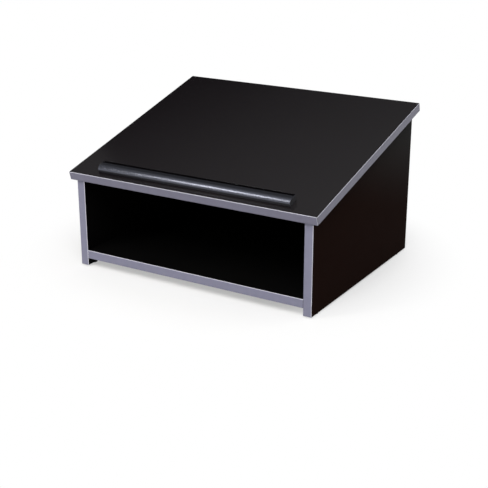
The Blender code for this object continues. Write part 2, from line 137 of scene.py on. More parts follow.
def make_skin_group():
    """Fine grain and slow cloudy drift over a surface, both from 0 to 1."""
    group = bpy.data.node_groups.new("skin", "ShaderNodeTree")
    for label in ("Place", "Stretch"):
        group.interface.new_socket(label, in_out="INPUT", socket_type="NodeSocketVector")
    for label in ("Grain Scale", "Cloud Scale"):
        group.interface.new_socket(label, in_out="INPUT", socket_type="NodeSocketFloat")
    for label in ("Grain", "Cloud"):
        group.interface.new_socket(label, in_out="OUTPUT", socket_type="NodeSocketFloat")
    given = node(group, "NodeGroupInput").outputs
    stretched = {0: given["Place"], 1: given["Stretch"]}
    drawn = node(group, "ShaderNodeVectorMath", stretched, operation="MULTIPLY").outputs[0]
    noises = {
        "Grain": (GRAIN_DETAIL, GRAIN_ROUGHNESS),
        "Cloud": (CLOUD_DETAIL, CLOUD_ROUGHNESS),
    }
    results = {}
    for label, (detail, roughness) in noises.items():
        scale = given[label + " Scale"]
        noise = {"Vector": drawn, "Scale": scale, "Detail": detail, "Roughness": roughness}
        results[label] = node(group, "ShaderNodeTexNoise", noise).outputs[0]
    node(group, "NodeGroupOutput", results)
    return group


def make_finish(name, colours, rough, scales, relief, stretch=(1, 1, 1), metallic=0.0, specular=0.5,
                ior=1.5, tint=(1, 1, 1, 1), own_place=None):
    """A material that drifts between two colours, with a grained relief and gloss."""
    material = bpy.data.materials.new(name)
    material.use_nodes = True
    tree = material.node_tree
    shader = tree.nodes["Principled BSDF"]
    shader.inputs["Metallic"].default_value = metallic
    shader.inputs["Specular IOR Level"].default_value = specular
    shader.inputs["IOR"].default_value = ior
    shader.inputs["Specular Tint"].default_value = tint
    if own_place:
        place = node(tree, "ShaderNodeAttribute", attribute_name=own_place).outputs["Vector"]
    else:
        place = node(tree, "ShaderNodeTexCoord").outputs["Object"]
    skin = node(tree, "ShaderNodeGroup", node_tree=SKIN)
    tree.links.new(place, skin.inputs["Place"])
    skin.inputs["Stretch"].default_value = stretch
    skin.inputs["Grain Scale"].default_value, skin.inputs["Cloud Scale"].default_value = scales
    colour = blend_colours(tree, skin.outputs["Cloud"], *colours)
    gloss = blend_range(tree, skin.outputs["Grain"], 0.0, 1.0, *rough, "LINEAR")
    bump = node(tree, "ShaderNodeBump", {"Height": skin.outputs["Grain"], "Distance": relief}).outputs[0]
    tree.links.new(colour, shader.inputs["Base Color"])
    tree.links.new(gloss, shader.inputs["Roughness"])
    tree.links.new(bump, shader.inputs["Normal"])
    return material


def paint_sheen(material, way, ends, colour):
    """Paint a grey sheen into a material's colour, more and more along a way."""
    tree = material.node_tree
    base = tree.nodes["Principled BSDF"].inputs["Base Color"]
    film_colour = base.links[0].from_socket
    place = node(tree, "ShaderNodeTexCoord").outputs["Object"]
    climb = node(tree, "ShaderNodeVectorMath", {0: place, 1: way}, operation="DOT_PRODUCT")
    share = blend_range(tree, climb.outputs["Value"], *ends, 0.0, 1.0)
    tree.links.new(blend_colours(tree, share, film_colour, colour), base)


SKIN = make_skin_group()
melamine_film = make_finish("melamine_film", (FILM_DARK, FILM_LIGHT), rough=(0.42, 0.58),
                            scales=(2600, 14), relief=0.00003, specular=0.0025)
# Painted sheen on the outer film, greyer towards the upper rear.
paint_sheen(melamine_film, SHEEN_WAY, (SHEEN_START, SHEEN_END), PAINTED_SHEEN_GREY)
inner_shade_film = make_finish("inner_shade_film", (INNER_SHADE_DARK, INNER_SHADE_LIGHT), rough=(0.42, 0.58),
                         scales=(2600, 14), relief=0.00003, specular=0.02)
raw_chipboard = make_finish("raw_chipboard", (CHIP_DARK, CHIP_LIGHT), rough=(0.75, 0.95),
                            scales=(900, 420), relief=0.0002, specular=0.2)

# Each lock has its axes, the way its bolt points and the way its drum faces. A dowel lies beside it.
locks = {}
for hand, inward in INWARD.items():
    for end in ("front", "rear"):
        locks[f"shelf_{hand}_{end}"] = (LEVEL, inward, -UP)
        locks[f"top_{hand}_{end}"] = (TILTED, -UP, inward)
    for end in ("lower", "upper"):
        locks[f"back_{hand}_{end}"] = (LEVEL, inward, -REAR)
pegs = dict(locks)
for hand in INWARD:
    pegs["shelf_back_" + hand] = (LEVEL, -REAR, UP)
stop_screws = [f"book_stop_screw_{number}" for number in (1, 2, 3)]
glides = [f"{hand}_{end}_glide" for hand in INWARD for end in ("front", "rear")]


def seat(axes, cad_node, along, across):
    """Placement at the middle of a fitting, Z along it and X across it, with its length and width."""
    low, high = box_in(axes, cad_node)
    turn = Matrix((across, along.cross(across), along)).transposed().to_4x4()
    size = high - low
    placement = axes @ Matrix.Translation((low + high) / 2) @ turn
    return placement, abs(size.dot(along)), abs(size.dot(across))


def link_object(name, data, *materials):
    """A new object at the origin of the scene, with its materials."""
    item = bpy.data.objects.new(name, data)
    bpy.context.scene.collection.objects.link(item)
    for material in materials:
        data.materials.append(material)
    return item


def mesh_of(bm, name):
    """The mesh of a bmesh, faces outwards."""
    bmesh.ops.recalc_face_normals(bm, faces=bm.faces)
    mesh = bpy.data.meshes.new(name)
    bm.to_mesh(mesh)
    bm.free()
    return mesh


def bore_tool(name, bores):
    """One hidden object of round cutters, each a placement, two ends and the radius at each end."""
    bm = bmesh.new()
    for placement, low, high, low_radius, high_radius in bores:
        middle = placement @ Matrix.Translation((0, 0, (low + high) / 2))
        bmesh.ops.create_cone(bm, cap_ends=True, segments=BORE_SIDES, radius1=low_radius,
                              radius2=high_radius, depth=high - low, matrix=middle)
    tool = link_object(name, mesh_of(bm, name), raw_chipboard)
    tool.hide_render = True
    return tool


def pin_bore(placement, length, width):
    """A straight bore a little longer and wider than the pin that it takes."""
    reach = length / 2 + BORE_CLEARANCE
    radius = width / 2 + BORE_CLEARANCE
    return placement, -reach, reach, radius, radius


pin_bores = []
mouth_bores = []
for joint, (axes, into, mouth) in locks.items():
    pin_bores.append(pin_bore(*seat(axes, joint + "_bolt", into, mouth)))
    placement, length, width = seat(axes, joint + "_cam", mouth, -into)
    bottom = -length / 2 - BORE_CLEARANCE
    radius = width / 2 + BORE_CLEARANCE
    mouth_bores.append((placement, bottom, length / 2 + BORE_OVERRUN, radius, radius))
for joint, (axes, into, across) in pegs.items():
    pin_bores.append(pin_bore(*seat(axes, joint + "_dowel", into, across)))
for screw in stop_screws:
    placement, length, width = seat(TILTED, screw, UP, RIGHT)
    pin_bores.append(pin_bore(placement, length + 2 * BORE_OVERRUN, SCREW_SHANK))
    foot = -length / 2
    radius = width / 2 + BORE_CLEARANCE
    shank_radius = SCREW_SHANK / 2 + BORE_CLEARANCE
    mouth_bores.append((placement, foot, foot + SCREW_HEAD_DEPTH, radius, shank_radius))
    mouth_bores.append((placement, foot - BORE_OVERRUN, foot, radius, radius))
for glide in glides:
    placement, length, _ = seat(LEVEL, glide, UP, RIGHT)
    pin_bores.append(pin_bore(placement, length, NAIL_DIAMETER))
pin_tool = bore_tool("pin_bores", pin_bores)
mouth_tool = bore_tool("mouth_bores", mouth_bores)


def bake(item):
    """Turn an object's evaluated shape into its plain mesh."""
    evaluated = item.evaluated_get(bpy.context.evaluated_depsgraph_get())
    mesh = bpy.data.meshes.new_from_object(evaluated)
    item.modifiers.clear()
    item.data = mesh


def shade(item):
    """Shade a piece smoothly but for its crisp edges, its flats kept flat up to their arrises."""
    item.data.shade_smooth()
    item.data.set_sharp_from_angle(angle=CRISP_ANGLE)
    flats = item.modifiers.new("flats", "WEIGHTED_NORMAL")
    flats.keep_sharp = True
    flats.weight = FLAT_WEIGHT
    bake(item)
    return item


def drill(item, *tools):
    """Take the tools' bores out of a board, their walls in raw chipboard."""
    for tool in tools:
        cut = item.modifiers.new(tool.name, "BOOLEAN")
        cut.object = tool
        cut.solver = "EXACT"
        cut.material_mode = "TRANSFER"
    weld = item.modifiers.new("weld", "WELD")
    weld.merge_threshold = WELD
    bake(item)
    return shade(item)


def extruded(section, low_x, high_x):
    """A bmesh of an outline of (y, z) points drawn along X."""
    bm = bmesh.new()
    end_face = bm.faces.new([bm.verts.new((low_x, *point)) for point in section])
    grown = bmesh.ops.extrude_face_region(bm, geom=[end_face])
    far_end = [part for part in grown["geom"] if isinstance(part, bmesh.types.BMVert)]
    bmesh.ops.translate(bm, verts=far_end, vec=RIGHT * (high_x - low_x))
    return bm


def prism(low, high, rise):
    """A bmesh of a squared strip or board whose upper edge rises to the rear."""
    front_top = high.z - (high.y - low.y) * rise
    section = ((low.y, low.z), (high.y, low.z), (high.y, high.z), (low.y, front_top))
    return extruded(section, low.x, high.x)


def round_edges(bm, edges, radius, steps):
    """Round some edges, and hand back the faces of their arrises."""
    rounded = bmesh.ops.bevel(bm, geom=edges, offset=radius, segments=steps, profile=ROUND_PROFILE,
                              affect="EDGES")
    return rounded["faces"]


def sawn_board(name, cad_node, axes, rise, facing, bare_foot, inward=None):
    """A faced board drilled for its fittings, the arrises of its bare lower edge eased."""
    low, high = box_in(axes, cad_node)
    bm = prism(low, high, rise)
    if bare_foot:
        foot = [edge for edge in bm.edges if max(vert.co.z for vert in edge.verts) < low.z + WELD]
        round_edges(bm, foot, BOARD_ARRIS, ARRIS_STEPS)
    mesh = mesh_of(bm, name)
    mesh.transform(axes)
    board = link_object(name, mesh, facing, raw_chipboard, inner_shade_film)
    # Faces towards the compartment take the film that is darkened with painted shade.
    for face in mesh.polygons:
        if inward and face.normal.dot(inward) > FACE_ON:
            face.material_index = SHADED_INNER_FACE
    return drill(board, pin_tool, mouth_tool)


for hand, inward in INWARD.items():
    cad_node = hand + "_side_panel"
    side = sawn_board(hand + "_side_board", cad_node, LEVEL, RISE, melamine_film, bare_foot=True,
                      inward=inward)
    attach(side, "root")
    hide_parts(cad_node)

# Bottom shelf
# The raised floor of the compartment, a faced chipboard that hangs between the sides on dowels and
# cam locks. Its drums are let into its underside.
# The shelf is faced all over with the inner film, which is darkened with painted shade.
shelf = sawn_board("shelf_board", "bottom_shelf", LEVEL, 0, inner_shade_film, bare_foot=False)
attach(shelf, "root")
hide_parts("bottom_shelf")

# Back panel
# The faced chipboard towards the audience. Outside it has black film with a painted grey sheen growing
# upwards, and inside a film darkened with painted shade. It is set in between the sides, sawn to the
# slope at its upper edge, and its drums are let into its inner face.
back = sawn_board("back_board", "back_panel", LEVEL, RISE, melamine_film, bare_foot=True, inward=-REAR)
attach(back, "root")
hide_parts("back_panel")

# Reading top
# The sloped chipboard that carries the book, faced in a harder black laminate with a faint sheen.
# Bolts in its underside draw it down on the sides, and three countersunk holes take the stop's screws.
LAMINATE_DARK = (0.0036, 0.0021, 0.0032, 1.0)
LAMINATE_LIGHT = (0.0049, 0.0031, 0.0044, 1.0)
top_laminate = make_finish("top_laminate", (LAMINATE_DARK, LAMINATE_LIGHT), rough=(0.11, 0.15),
                           scales=(2200, 9), relief=0.000004, specular=0.55)
top = sawn_board("reading_top", "top_panel", TILTED, 0, top_laminate, bare_foot=False)
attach(top, "root")
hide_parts("top_panel")
for tool in (pin_tool, mouth_tool):
    bpy.data.objects.remove(tool)

# Edge bands
# Thin strips of dark plastic with a satin silver-grey face, glued to the boards' edges and trimmed
# flush. Their outer arrises are rounded, and the upper or right-hand one carries a painted highlight, a
# paler line.
# The top's front and rear bands wrap its corners.
BAND_ROUND = 0.00082
ARRIS_REACH = 0.0012
BAND_STEPS = 6
LENGTHWISE = 0.9
UPRIGHT_TURN = 0.05
OUTWARD_FACING = 0.70
HIGHLIGHT_FACE, CORE_FACE = 1, 2
GLUE_LINE = 0.00005
CAD_GAP = 0.0003
# The top's bands are a darker copy of the silver face: painted shade, as they lean a little downwards.
TOP_BAND_SHADE_DARK = (0.152, 0.148, 0.200, 1.0)
TOP_BAND_SHADE_LIGHT = (0.181, 0.176, 0.238, 1.0)
BAND_DARK = (0.197, 0.196, 0.270, 1.0)
BAND_LIGHT = (0.232, 0.231, 0.318, 1.0)
# A pale painted highlight for the arrises where the light falls.
ARRIS_HIGHLIGHT_DARK = (0.56, 0.56, 0.64, 1.0)
ARRIS_HIGHLIGHT_LIGHT = (0.77, 0.77, 0.87, 1.0)
CORE_DARK = (0.0020, 0.0019, 0.0019, 1.0)
CORE_LIGHT = (0.0031, 0.0030, 0.0030, 1.0)
shaded_top_band = make_finish("shaded_top_band", (TOP_BAND_SHADE_DARK, TOP_BAND_SHADE_LIGHT), rough=(0.32, 0.42),
                              scales=(3200, 60), relief=0.00001, metallic=0.15, specular=0.3)
silver_band = make_finish("silver_band", (BAND_DARK, BAND_LIGHT), rough=(0.32, 0.42),
                          scales=(3200, 60), relief=0.00001, metallic=0.15, specular=0.3)
arris_highlight = make_finish("arris_highlight", (ARRIS_HIGHLIGHT_DARK, ARRIS_HIGHLIGHT_LIGHT), rough=(0.30, 0.44),
                           scales=(3200, 300), relief=0.00001)
band_core = make_finish("band_core", (CORE_DARK, CORE_LIGHT), rough=(0.42, 0.58),
                        scales=(2600, 60), relief=0.00001, specular=0.02)


def edge_band(cad_node, axes, rise, outward, wraps):
    """A band on its glue line, its outer arrises rounded, and its ends too where it wraps a corner."""
    low, high = box_in(axes, cad_node)
    inner, outer = sorted((low.dot(outward), high.dot(outward)))
    to_board = outward * (GLUE_LINE - CAD_GAP)
    grown = []
    for corner in (low, high):
        glued = abs(corner.dot(outward) - inner) < WELD
        grown.append(corner + to_board if glued else corner)
    bm = prism(*grown, rise)
    longways = max((RIGHT, REAR, UP), key=(high - low).dot)
    squeeze = Matrix.Scale(BAND_ROUND / ARRIS_REACH, 4, longways.cross(outward))

    def is_arris(edge):
        start, end = (vert.co for vert in edge.verts)
        outside = [point.dot(outward) > outer - WELD for point in (start, end)]
        if wraps:
            return any(outside)
        return all(outside) and abs((end - start).normalized().dot(longways)) > LENGTHWISE

    # Squeezed while it is rounded, so that the rounded arris reaches further down the face than into the
    # band.
    bm.transform(squeeze)
    arrises = set(round_edges(bm, [edge for edge in bm.edges if is_arris(edge)], BAND_ROUND, BAND_STEPS))
    bm.transform(squeeze.inverted())
    bmesh.ops.recalc_face_normals(bm, faces=bm.faces)
    # Painted highlight: rounded arrises on the upper or right-hand side, where the light falls, take the
    # pale colour.
    for face in bm.faces:
        upright = abs(face.normal.z) < UPRIGHT_TURN
        pale = face.normal.x > 0 if upright else face.normal.z > 0
        if face.normal.dot(outward) < OUTWARD_FACING:
            face.material_index = CORE_FACE
        elif pale and face in arrises:
            face.material_index = HIGHLIGHT_FACE
    mesh = mesh_of(bm, cad_node)
    mesh.transform(axes)
    # The top's bands take the darker copy, with painted shade.
    facing = shaded_top_band if cad_node.startswith("top") else silver_band
    return shade(link_object(cad_node + "_strip", mesh, facing, arris_highlight, band_core))


bands = {
    "top_front_band": (TILTED, 0, -REAR, True),
    "top_rear_band": (TILTED, 0, REAR, True),
    "top_left_band": (TILTED, 0, -RIGHT, False),
    "top_right_band": (TILTED, 0, RIGHT, False),
    "shelf_front_band": (LEVEL, 0, -REAR, False),
}
for hand in INWARD:
    bands[hand + "_side_front_band"] = (LEVEL, RISE, -REAR, False)
    bands[hand + "_side_rear_band"] = (LEVEL, RISE, REAR, False)
for cad_node, (axes, rise, outward, wraps) in bands.items():
    band = edge_band(cad_node, axes, rise, outward, wraps)
    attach(band, "root")
    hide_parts(cad_node)

# Dowels
# Fluted beech pegs with chamfered ends, glued half in one board's face and half in the other's edge.
# They keep the boards in line while the cam locks draw them together.
DOWEL_FLUTES = 14
FLUTE_SHARE = 0.88
DOWEL_CHAMFER = 0.0012
BEECH_DARK = (0.40, 0.235, 0.115, 1.0)
BEECH_LIGHT = (0.60, 0.41, 0.235, 1.0)
beech = make_finish("beech", (BEECH_DARK, BEECH_LIGHT), rough=(0.55, 0.75), scales=(1500, 700),
                    relief=0.00005, stretch=(1, 1, 0.12), specular=0.3, own_place="own_place")


def fitting_tree(name, sizes):
    """An empty tree of nodes that is given seats and named sizes, and what it is given."""
    tree = bpy.data.node_groups.new(name, "GeometryNodeTree")
    tree.is_modifier = True
    tree.interface.new_socket("Seats", in_out="INPUT", socket_type="NodeSocketGeometry")
    for label in sizes:
        tree.interface.new_socket(label, in_out="INPUT", socket_type="NodeSocketFloat")
    tree.interface.new_socket("Fittings", in_out="OUTPUT", socket_type="NodeSocketGeometry")
    return tree, node(tree, "NodeGroupInput").outputs


def turned(tree, given, outline, section):
    """A closed body that follows a section up Z, each (size, height) a number or the name of a size."""
    rings = []
    for entry in outline:
        size, height = (given[part] if isinstance(part, str) else part for part in entry)
        at = node(tree, "ShaderNodeCombineXYZ", {"Z": height}).outputs[0]
        ring = {"Count": 1, "Position": at, "Radius": size}
        rings.append(node(tree, "GeometryNodePoints", ring).outputs[0])
    strung = node(tree, "GeometryNodeJoinGeometry", {0: rings}).outputs[0]
    axis = node(tree, "GeometryNodePointsToCurves", {"Points": strung}).outputs[0]
    scale = node(tree, "GeometryNodeInputRadius").outputs[0]
    sweep = {"Curve": axis, "Profile Curve": section, "Scale": scale}
    swept = node(tree, "GeometryNodeCurveToMesh", sweep).outputs[0]
    return node(tree, "GeometryNodeMergeByDistance", {"Geometry": swept, "Distance": WELD}).outputs[0]


def seat_fittings(tree, given, body, material):
    """End a tree with the body at every seat, made real and given its finish."""
    named = {"Name": "turn"}
    angles = node(tree, "GeometryNodeInputNamedAttribute", named, data_type="FLOAT_VECTOR").outputs[0]
    turn = node(tree, "FunctionNodeEulerToRotation", {"Euler": angles}).outputs[0]
    place = node(tree, "GeometryNodeInputPosition").outputs[0]
    mark = {"Geometry": body, "Name": "own_place", "Value": place}
    marked = node(tree, "GeometryNodeStoreNamedAttribute", mark, data_type="FLOAT_VECTOR").outputs[0]
    spread = {"Points": given["Seats"], "Instance": marked, "Rotation": turn}
    placed = node(tree, "GeometryNodeInstanceOnPoints", spread).outputs[0]
    real = node(tree, "GeometryNodeRealizeInstances", {"Geometry": placed}).outputs[0]
    coated = node(tree, "GeometryNodeSetMaterial", {"Geometry": real, "Material": material}).outputs[0]
    node(tree, "NodeGroupOutput", {"Fittings": coated})


def fit_out(name, tree, seats, sizes):
    """A tree's fittings at all of their seats, as one plain mesh."""
    placements = [placement for placement, _, _ in seats]
    points = bpy.data.meshes.new(name)
    points.from_pydata([placement.translation for placement in placements], [], [])
    turns = points.attributes.new("turn", "FLOAT_VECTOR", "POINT")
    for entry, placement in zip(turns.data, placements):
        entry.vector = placement.to_euler()
    item = link_object(name, points)
    grown = item.modifiers.new(name, "NODES")
    grown.node_group = tree
    for socket in tree.interface.items_tree:
        if socket.name in sizes:
            grown[socket.identifier] = sizes[socket.name]
    bake(item)
    return shade(item)


peg_seats = [seat(axes, joint + "_dowel", into, across) for joint, (axes, into, across) in pegs.items()]
_, peg_length, peg_width = peg_seats[0]
peg_sizes = {
    "Radius": peg_width / 2,
    "End Radius": peg_width / 2 - DOWEL_CHAMFER,
    "Low End": -peg_length / 2,
    "Low Shoulder": DOWEL_CHAMFER - peg_length / 2,
    "High Shoulder": peg_length / 2 - DOWEL_CHAMFER,
    "High End": peg_length / 2,
}
peg_outline = [
    (0, "Low End"),
    ("End Radius", "Low End"),
    ("Radius", "Low Shoulder"),
    ("Radius", "High Shoulder"),
    ("End Radius", "High End"),
    (0, "High End"),
]
peg_tree, given = fitting_tree("fluted_dowel", peg_sizes)
flutes = {"Points": DOWEL_FLUTES, "Inner Radius": FLUTE_SHARE, "Outer Radius": 1.0}
fluted = node(peg_tree, "GeometryNodeCurveStar", flutes).outputs[0]
seat_fittings(peg_tree, given, turned(peg_tree, given, peg_outline, fluted), beech)
dowels = fit_out("beech_dowels", peg_tree, peg_seats, peg_sizes)
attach(dowels, "root")
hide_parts(*(joint + "_dowel" for joint in pegs))

# Connecting bolts
# Plated steel bolts screwed into a board's face, with a collar, a shaft and a ball head on a thin neck.
# The cam in the next board closes round the head.
BOLT_BITE = 0.01255
BOLT_POINT = 0.002
BOLT_TIP = 0.0030
BOLT_ROOT = 0.0046
BOLT_RIDGE = 0.0006
BOLT_COLLAR_LENGTH = 0.002
BOLT_SHAFT = 0.0062
BOLT_SHAFT_END = 0.0286
BOLT_NECK = 0.0036
BOLT_HEAD = 0.0060
BOLT_TURNS = 7
TURNED_SIDES = 28
RIDGE_SIDES = 3
COIL_STEPS = 18
STEEL_DARK = (0.46, 0.45, 0.41, 1.0)
STEEL_LIGHT = (0.62, 0.60, 0.55, 1.0)
plated_steel = make_finish("plated_steel", (STEEL_DARK, STEEL_LIGHT), rough=(0.22, 0.38),
                           scales=(2400, 180), relief=0.00001, metallic=1.0)


def round_section(tree, sides, radius=1.0):
    """A ring to sweep, of a radius of 1 where an outline gives the sizes."""
    ring = {"Resolution": sides, "Radius": radius}
    return node(tree, "GeometryNodeCurvePrimitiveCircle", ring).outputs[0]


def moved(tree, geometry, at, turn=0.0):
    """A shape at (x, y, z), each a number or a size, turned about Z."""
    at = node(tree, "ShaderNodeCombineXYZ", dict(zip("XYZ", at))).outputs[0]
    move = {"Geometry": geometry, "Translation": at, "Rotation": (0, 0, turn)}
    return node(tree, "GeometryNodeTransform", move).outputs[0]


def thread(tree, given, turns):
    """A ridge wound round a root, from the start of its thread upwards."""
    coil = {
        "Resolution": COIL_STEPS,
        "Rotations": turns,
        "Start Radius": given["Root Radius"],
        "End Radius": given["Root Radius"],
        "Height": given["Thread Length"],
    }
    spiral = node(tree, "GeometryNodeCurveSpiral", coil).outputs[0]
    wound = moved(tree, spiral, (0, 0, given["Thread Start"]))
    ridge = round_section(tree, RIDGE_SIDES, given["Ridge"])
    sweep = {"Curve": wound, "Profile Curve": ridge, "Fill Caps": True}
    return node(tree, "GeometryNodeCurveToMesh", sweep).outputs[0]


bolt_seats = [seat(axes, joint + "_bolt", into, mouth) for joint, (axes, into, mouth) in locks.items()]
_, bolt_length, bolt_width = bolt_seats[0]
bolt_tip = -bolt_length / 2
bolt_sizes = {
    "Tip": bolt_tip,
    "Tip Radius": BOLT_TIP / 2,
    "Thread Start": bolt_tip + BOLT_POINT,
    "Thread Length": BOLT_BITE - BOLT_POINT,
    "Root Radius": BOLT_ROOT / 2,
    "Ridge": BOLT_RIDGE,
    "Collar Start": bolt_tip + BOLT_BITE,
    "Collar End": bolt_tip + BOLT_BITE + BOLT_COLLAR_LENGTH,
    "Collar Radius": bolt_width / 2,
    "Shaft Radius": BOLT_SHAFT / 2,
    "Shaft End": bolt_tip + BOLT_SHAFT_END,
    "Neck Radius": BOLT_NECK / 2,
    "Head Radius": BOLT_HEAD / 2,
    "Head Middle": bolt_length / 2 - BOLT_HEAD / 2,
}
bolt_outline = [
    (0, "Tip"),
    ("Tip Radius", "Tip"),
    ("Root Radius", "Thread Start"),
    ("Root Radius", "Collar Start"),
    ("Collar Radius", "Collar Start"),
    ("Collar Radius", "Collar End"),
    ("Shaft Radius", "Collar End"),
    ("Shaft Radius", "Shaft End"),
    ("Neck Radius", "Shaft End"),
    ("Neck Radius", "Head Middle"),
    (0, "Head Middle"),
]
bolt_tree, given = fitting_tree("connecting_bolt", bolt_sizes)
shank = turned(bolt_tree, given, bolt_outline, round_section(bolt_tree, TURNED_SIDES))
ball_sizes = {"Segments": TURNED_SIDES, "Rings": TURNED_SIDES // 2, "Radius": given["Head Radius"]}
ball = node(bolt_tree, "GeometryNodeMeshUVSphere", ball_sizes).outputs[0]
head = moved(bolt_tree, ball, (0, 0, given["Head Middle"]))
parts = [shank, head, thread(bolt_tree, given, BOLT_TURNS)]
bolt = node(bolt_tree, "GeometryNodeJoinGeometry", {0: parts}).outputs[0]
seat_fittings(bolt_tree, given, bolt, plated_steel)
bolts = fit_out("connecting_bolts", bolt_tree, bolt_seats, bolt_sizes)
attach(bolts, "root")
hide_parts(*(joint + "_bolt" for joint in locks))

# Cam locks
# Zinc drums let into the boards, each with an off-centre hollow, a slot for the bolt's neck and a window
# for its head. A turn of the cross in the drum's face draws the bolt in.
CAM_FLOOR = 0.0045
CAM_RIM = 0.0004
CAM_HOLLOW = 0.0057
CAM_HOLLOW_SHIFT = 0.0003
CAM_HOLLOW_HEIGHT = 0.0072
CAM_SLOT_HEIGHT = 0.0042
CAM_SLOT_START = math.radians(-24)
CAM_WINDOW_AT = math.radians(138)
CAM_WINDOW = 0.0066
CAM_CROSS = 0.0078
CAM_CROSS_DEPTH = 0.0020
CROSS_WIDTH = 0.0014
CUTTER_REACH = 0.016
ZINC_DARK = (0.30, 0.30, 0.31, 1.0)
ZINC_LIGHT = (0.52, 0.52, 0.53, 1.0)
zinc_casting = make_finish("zinc_casting", (ZINC_DARK, ZINC_LIGHT), rough=(0.34, 0.58),
                           scales=(1400, 320), relief=0.00006, metallic=0.9)


def squared_cutter(tree, size, at, turn=0.0):
    """A squared block, its size and middle each as x, y and z, turned about Z."""
    size = node(tree, "ShaderNodeCombineXYZ", dict(zip("XYZ", size))).outputs[0]
    block = node(tree, "GeometryNodeMeshCube", {"Size": size}).outputs[0]
    return moved(tree, block, at, turn)


def cross_cutters(tree, given, face):
    """The two bars of a screwdriver cross, sunk in a face."""
    span, width, depth = given["Cross Span"], given["Cross Width"], given["Cross Sinking"]
    at = (0, 0, given[face])
    return [squared_cutter(tree, (x, y, depth), at) for x, y in ((span, width), (width, span))]


def carved(tree, body, cutters):
    """A body with the cutters taken out of it."""
    cut = {"Mesh 1": body, "Mesh 2": cutters}
    return node(tree, "GeometryNodeMeshBoolean", cut, operation="DIFFERENCE", solver="EXACT").outputs[0]


def around(radius, angle, height):
    """The point at a radius and an angle about Z."""
    return radius * math.cos(angle), radius * math.sin(angle), height


cam_seats = [seat(axes, joint + "_cam", mouth, -into) for joint, (axes, into, mouth) in locks.items()]
_, cam_length, cam_width = cam_seats[0]
cam_sizes = {
    "Radius": cam_width / 2,
    "Face Radius": cam_width / 2 - CAM_RIM,
    "Floor": -cam_length / 2,
    "Rim": cam_length / 2 - CAM_RIM,
    "Face": cam_length / 2,
    "Bolt Height": CAM_FLOOR - cam_length / 2,
    "Hollow Radius": CAM_HOLLOW,
    "Hollow Height": CAM_HOLLOW_HEIGHT,
    "Slot Height": CAM_SLOT_HEIGHT,
    "Window": CAM_WINDOW,
    "Cross Span": CAM_CROSS,
    "Cross Width": CROSS_WIDTH,
    "Cross Sinking": 2 * CAM_CROSS_DEPTH,
}
cam_outline = [
    (0, "Floor"),
    ("Radius", "Floor"),
    ("Radius", "Rim"),
    ("Face Radius", "Face"),
    (0, "Face"),
]
cam_tree, given = fitting_tree("cam_lock", cam_sizes)
drum = turned(cam_tree, given, cam_outline, round_section(cam_tree, TURNED_SIDES))
bolt_height = given["Bolt Height"]
plug_radius = given["Hollow Radius"]
plug_sizes = {"Vertices": TURNED_SIDES, "Radius": plug_radius, "Depth": given["Hollow Height"]}
plug = node(cam_tree, "GeometryNodeMeshCylinder", plug_sizes).outputs[0]
hollow = moved(cam_tree, plug, (-CAM_HOLLOW_SHIFT, 0, bolt_height))
slot_turn = (CAM_SLOT_START + CAM_WINDOW_AT) / 2
slot_shift = cam_width / 2 * math.cos((CAM_WINDOW_AT - CAM_SLOT_START) / 2) + CUTTER_REACH / 2
slot_size = (CUTTER_REACH, 2 * CUTTER_REACH, given["Slot Height"])
slot = squared_cutter(cam_tree, slot_size, around(slot_shift, slot_turn, bolt_height), slot_turn)
window_size = (CUTTER_REACH, given["Window"], given["Window"])
window_at = around(CUTTER_REACH / 2, CAM_WINDOW_AT, bolt_height)
window = squared_cutter(cam_tree, window_size, window_at, CAM_WINDOW_AT)
cam = carved(cam_tree, drum, [hollow, slot, window, *cross_cutters(cam_tree, given, "Face")])
seat_fittings(cam_tree, given, cam, zinc_casting)
cams = fit_out("cam_drums", cam_tree, cam_seats, cam_sizes)
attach(cams, "root")
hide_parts(*(joint + "_cam" for joint in locks))

# Book stop
# A moulded ledge of black plastic along the foot of the top: a dull upright front and dull ends, both
# lighter with a painted sheen, a glossy round nose, and a flat crest with a matt strip along its rear
# arris.
# Screws from under the top hold it.
STOP_NOSE = 0.0105
STOP_NOSE_STEPS = 24
STOP_LEAN = 0.0008
STOP_STRIP = 0.0072
STOP_ARRIS = 0.0004
STOP_DULL_RISE = 0.26
CREST_FACE, STRIP_FACE, DULL_SHEEN_FACE = 1, 2, 3
STOP_DARK = (0.0024, 0.0028, 0.0048, 1.0)
STOP_LIGHT = (0.0034, 0.0040, 0.0064, 1.0)
STOP_TINT = (0.77, 0.81, 1.0, 1.0)
STOP_IOR = 1.7
DRAWN = (0.006, 1, 1)
# The dull front and ends are lighter than the plastic itself: a painted sheen.
DULL_SHEEN_DARK = (0.0128, 0.0124, 0.0164, 1.0)
DULL_SHEEN_LIGHT = (0.0160, 0.0156, 0.0202, 1.0)
STRIP_DARK = (0.0010, 0.0008, 0.0010, 1.0)
STRIP_LIGHT = (0.0017, 0.0014, 0.0017, 1.0)
stop_plastic = make_finish("stop_plastic", (STOP_DARK, STOP_LIGHT), rough=(0.18, 0.24),
                           scales=(2400, 40), relief=0.00011, stretch=DRAWN, specular=0.81,
                           ior=STOP_IOR, tint=STOP_TINT)
stop_crest = make_finish("stop_crest", (STOP_DARK, STOP_LIGHT), rough=(0.20, 0.26),
                         scales=(2400, 40), relief=0.000065, stretch=DRAWN, specular=0.42,
                         ior=STOP_IOR, tint=STOP_TINT)
stop_dull_sheen = make_finish("stop_dull_sheen", (DULL_SHEEN_DARK, DULL_SHEEN_LIGHT), rough=(0.30, 0.40),
                        scales=(1800, 60), relief=0.00001, specular=0.34)
matt_strip = make_finish("matt_strip", (STRIP_DARK, STRIP_LIGHT), rough=(0.70, 0.90),
                         scales=(1800, 120), relief=0.00003, specular=0.01)


